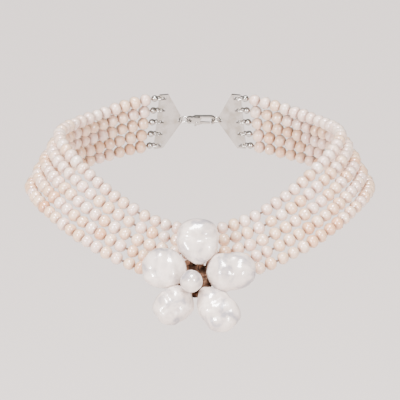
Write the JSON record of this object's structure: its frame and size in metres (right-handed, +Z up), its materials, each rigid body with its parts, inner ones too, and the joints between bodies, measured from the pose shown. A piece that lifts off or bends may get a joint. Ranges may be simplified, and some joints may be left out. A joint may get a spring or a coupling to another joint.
{
  "type": "pearl necklace",
  "caption": "Multi-strand choker of small freshwater pearls with a flower of large baroque pearls at the front, worn round the neck and closed at the back with a lobster clasp.",
  "frame": {"origin": "middle of the neck opening, level with the top strand at the sides of the neck", "axes": "+X to the right as seen from the front, the front with the flower faces -Y, +Z up as worn"},
  "size_m": [0.1456, 0.1451, 0.0702],
  "materials": {
    "small_pearls": "cream and pink nacre, satin lustre",
    "baroque_pearls": "cool white baroque nacre, high lustre",
    "plated_metal": "silver-plated brass, polished",
    "darkened_metal": "antiqued brass",
    "spring_steel": "spring steel"
  },
  "bodies": {
    "front": {"strand_1_front": "small_pearls", "strand_2_front": "small_pearls", "strand_3_front": "small_pearls", "strand_4_front": "small_pearls", "strand_5_front": "small_pearls", "spacer_bar": "plated_metal", "flower_frame": "darkened_metal", "petal_top": "baroque_pearls", "petal_upper_left": "baroque_pearls", "petal_upper_right": "baroque_pearls", "petal_lower_left": "baroque_pearls", "petal_lower_right": "baroque_pearls", "flower_centre_pearl": "baroque_pearls"},
    "right_side": {"strand_1_right_side": "small_pearls", "strand_2_right_side": "small_pearls", "strand_3_right_side": "small_pearls", "strand_4_right_side": "small_pearls", "strand_5_right_side": "small_pearls"},
    "right_back": {"strand_1_right_back": "small_pearls", "strand_2_right_back": "small_pearls", "strand_3_right_back": "small_pearls", "strand_4_right_back": "small_pearls", "strand_5_right_back": "small_pearls", "bead_tip_right_1": "plated_metal", "bead_tip_right_2": "plated_metal", "bead_tip_right_3": "plated_metal", "bead_tip_right_4": "plated_metal", "bead_tip_right_5": "plated_metal"},
    "right_bar": {"right_end_bar": "plated_metal"},
    "left_side": {"strand_1_left_side": "small_pearls", "strand_2_left_side": "small_pearls", "strand_3_left_side": "small_pearls", "strand_4_left_side": "small_pearls", "strand_5_left_side": "small_pearls"},
    "left_back": {"strand_1_left_back": "small_pearls", "strand_2_left_back": "small_pearls", "strand_3_left_back": "small_pearls", "strand_4_left_back": "small_pearls", "strand_5_left_back": "small_pearls", "bead_tip_left_1": "plated_metal", "bead_tip_left_2": "plated_metal", "bead_tip_left_3": "plated_metal", "bead_tip_left_4": "plated_metal", "bead_tip_left_5": "plated_metal"},
    "left_bar": {"left_end_bar": "plated_metal"},
    "clasp": {"clasp_jump_ring": "plated_metal", "clasp_body": "plated_metal", "clasp_rivet": "plated_metal", "clasp_spring": "spring_steel"},
    "clasp_gate": {"clasp_lever": "plated_metal"},
    "clasp_eye_ring": {"clasp_ring": "plated_metal"}
  },
  "joints": [
    {"name": "right_front_bend", "type": "hinge", "parent": "front", "child": "right_side", "pos_m": [0.02785, -0.05301, -0.03134], "axis": [0.2671, -0.6729, -0.6899], "range_deg": [0, 30]},
    {"name": "right_side_bend", "type": "hinge", "parent": "right_side", "child": "right_back", "pos_m": [0.06378, 0.00491, -0.01058], "axis": [0.4704, 0.0483, -0.8811], "range_deg": [0, 30]},
    {"name": "right_bar_swing", "type": "hinge", "parent": "right_back", "child": "right_bar", "pos_m": [0.01801, 0.05163, -0.00562], "axis": [0.1, 0.3094, -0.9457], "range_deg": [0, 90]},
    {"name": "left_front_bend", "type": "hinge", "parent": "front", "child": "left_side", "pos_m": [-0.02785, -0.05301, -0.03134], "axis": [0.2671, 0.6729, 0.6899], "range_deg": [0, 30]},
    {"name": "left_side_bend", "type": "hinge", "parent": "left_side", "child": "left_back", "pos_m": [-0.06378, 0.00491, -0.01058], "axis": [0.4704, -0.0483, 0.8811], "range_deg": [0, 30]},
    {"name": "left_bar_swing", "type": "hinge", "parent": "left_back", "child": "left_bar", "pos_m": [-0.01801, 0.05163, -0.00562], "axis": [0.1, -0.3094, 0.9457], "range_deg": [0, 90]},
    {"name": "clasp_swing", "type": "hinge", "parent": "left_bar", "child": "clasp", "pos_m": [-0.00662, 0.05504, -0.00548], "axis": [0, -0.3173, 0.9483], "range_deg": [0, 90]},
    {"name": "lever_press", "type": "hinge", "parent": "clasp", "child": "clasp_gate", "pos_m": [-0.00142, 0.05535, -0.00643], "axis": [0, -0.9483, -0.3173], "range_deg": [0, 20], "stiffness_Nm_per_rad": 0.003, "springref_deg": -11.46},
    {"name": "clasp_ring_turn", "type": "hinge", "parent": "right_bar", "child": "clasp_eye_ring", "pos_m": [0.00702, 0.05504, -0.00548], "axis": [0, -0.3173, 0.9483], "continuous": true}
  ]
}
